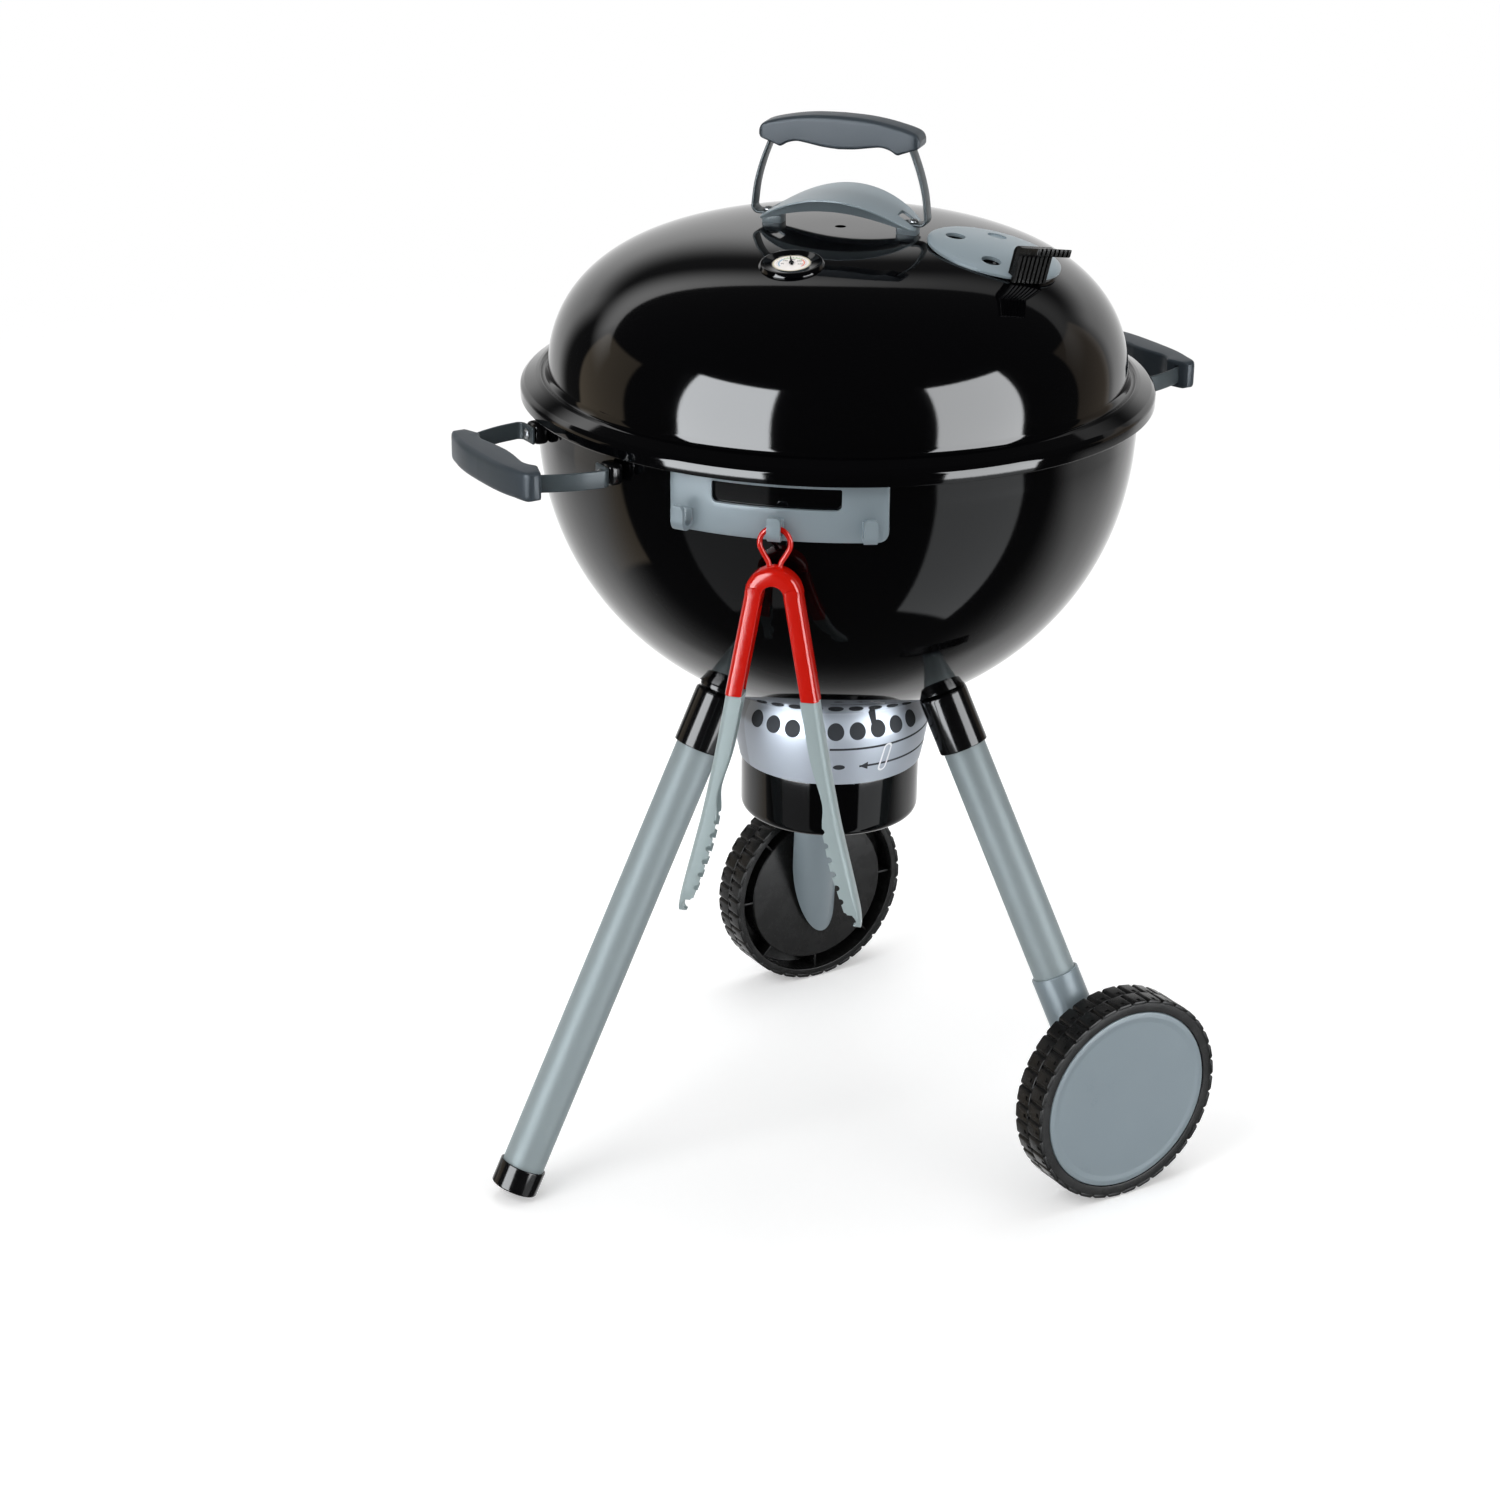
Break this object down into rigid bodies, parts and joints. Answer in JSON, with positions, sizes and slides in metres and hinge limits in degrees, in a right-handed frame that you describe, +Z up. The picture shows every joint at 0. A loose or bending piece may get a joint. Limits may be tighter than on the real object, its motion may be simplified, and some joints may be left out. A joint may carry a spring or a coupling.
{
  "type": "toy kettle barbecue grill",
  "caption": "Play kettle barbecue grill on a wheeled tripod stand, with lift-off lid, grates, ash pot, side handles, tool rack and hanging tongs.",
  "frame": {"origin": "on the kettle's axis at floor level", "axes": "+Z up, X along the wheel axle line, single foot towards -Y"},
  "size_m": [0.4026, 0.5098, 0.688],
  "materials": {
    "enamel_black": "deep gloss black",
    "satin_black": "satin black moulding",
    "wheel_black": "matte black moulding",
    "leg_grey": "satin silver-grey paint",
    "light_grey": "light blue-grey moulding",
    "grip_grey": "dark grey moulding",
    "strap_grey": "metallic grey",
    "tool_red": "bright red gloss",
    "tool_grey": "pale grey gloss",
    "ring_silver": "bright silver",
    "screw_steel": "plated steel",
    "grate_grey": "plated wire",
    "grate_dark": "dark wire",
    "ember_red": "glowing red moulding",
    "coal_black": "rough black moulding",
    "dial_white": "printed dial"
  },
  "bodies": {
    "kettle": {"bowl": "enamel_black", "ash_pot": "enamel_black", "ash_ring": "ring_silver", "leg_socket_foot": "satin_black", "leg_socket_right": "satin_black", "leg_socket_left": "satin_black", "leg_tube_foot": "leg_grey", "leg_tube_right": "leg_grey", "leg_tube_left": "leg_grey", "foot_cap": "satin_black", "wheel_sleeve_right": "light_grey", "wheel_sleeve_left": "light_grey", "axle_right": "screw_steel", "axle_left": "screw_steel", "axle_washer_right": "screw_steel", "axle_washer_left": "screw_steel", "side_strap_rear": "strap_grey", "side_strap_front": "strap_grey", "side_grip_rear": "grip_grey", "side_grip_front": "grip_grey", "tool_rack": "light_grey", "side_lug_rear_a": "satin_black", "side_screw_rear_a": "screw_steel", "side_lug_rear_b": "satin_black", "side_screw_rear_b": "screw_steel", "side_lug_front_a": "satin_black", "side_screw_front_a": "screw_steel", "side_lug_front_b": "satin_black", "side_screw_front_b": "screw_steel"},
    "charcoal_layer": {"charcoal_grate": "grate_dark", "ember_bed": "ember_red", "coal_heap": "coal_black"},
    "cooking_layer": {"cooking_grate": "grate_grey"},
    "lid": {"lid_shell": "enamel_black", "lid_strap": "strap_grey", "lid_grip": "grip_grey", "heat_shield": "light_grey", "lid_screw_a": "screw_steel", "lid_screw_b": "screw_steel", "thermometer_bezel": "satin_black", "thermometer_dial": "dial_white", "thermometer_pointer": "satin_black"},
    "damper": {"damper_disc": "light_grey", "damper_tab": "wheel_black", "damper_clip": "screw_steel"},
    "wheel_right": {"wheel_right": "wheel_black", "hub_cap_right": "light_grey"},
    "wheel_left": {"wheel_left": "wheel_black", "hub_cap_left": "light_grey"},
    "tongs": {"tongs_crown": "tool_red"},
    "tongs_right": {"tongs_arm_right": "tool_red", "tongs_blade_right": "tool_grey"},
    "tongs_left": {"tongs_arm_left": "tool_red", "tongs_blade_left": "tool_grey"}
  },
  "joints": [
    {"name": "charcoal_lift", "type": "slide", "parent": "kettle", "child": "charcoal_layer", "axis": [0, 0, 1], "range_m": [0, 0.16]},
    {"name": "cooking_lift", "type": "slide", "parent": "charcoal_layer", "child": "cooking_layer", "axis": [0, 0, 1], "range_m": [0, 0.1]},
    {"name": "lid_lift", "type": "slide", "parent": "cooking_layer", "child": "lid", "axis": [0, 0, 1], "range_m": [0, 0.25]},
    {"name": "damper_turn", "type": "hinge", "parent": "lid", "child": "damper", "pos_m": [0.0788, 0.06157, 0.61173], "axis": [0.168, 0.1312, 0.977], "range_deg": [0, 50]},
    {"name": "wheel_right_spin", "type": "hinge", "parent": "kettle", "child": "wheel_right", "pos_m": [0.188, 0.106, 0.0705], "axis": [1, 0, 0], "continuous": true},
    {"name": "wheel_left_spin", "type": "hinge", "parent": "kettle", "child": "wheel_left", "pos_m": [-0.188, 0.106, 0.0705], "axis": [1, 0, 0], "continuous": true},
    {"name": "tongs_swing", "type": "hinge", "parent": "kettle", "child": "tongs", "pos_m": [0.14468, -0.13444, 0.482], "axis": [0.7325, -0.6807, 0], "range_deg": [-10, 10]},
    {"name": "tongs_right_close", "type": "hinge", "parent": "tongs", "child": "tongs_right", "pos_m": [0.15285, -0.12565, 0.44505], "axis": [-0.7325, 0.6807, 0], "range_deg": [0, 12], "stiffness_Nm_per_rad": 0.3},
    {"name": "tongs_left_close", "type": "hinge", "parent": "tongs", "child": "tongs_left", "pos_m": [0.13651, -0.14323, 0.44505], "axis": [-0.7325, 0.6807, 0], "range_deg": [-12, 0], "stiffness_Nm_per_rad": 0.3}
  ],
  "couplings": [
    {"joint": "tongs_left_close", "follows": "tongs_right_close", "ratio": -1}
  ]
}
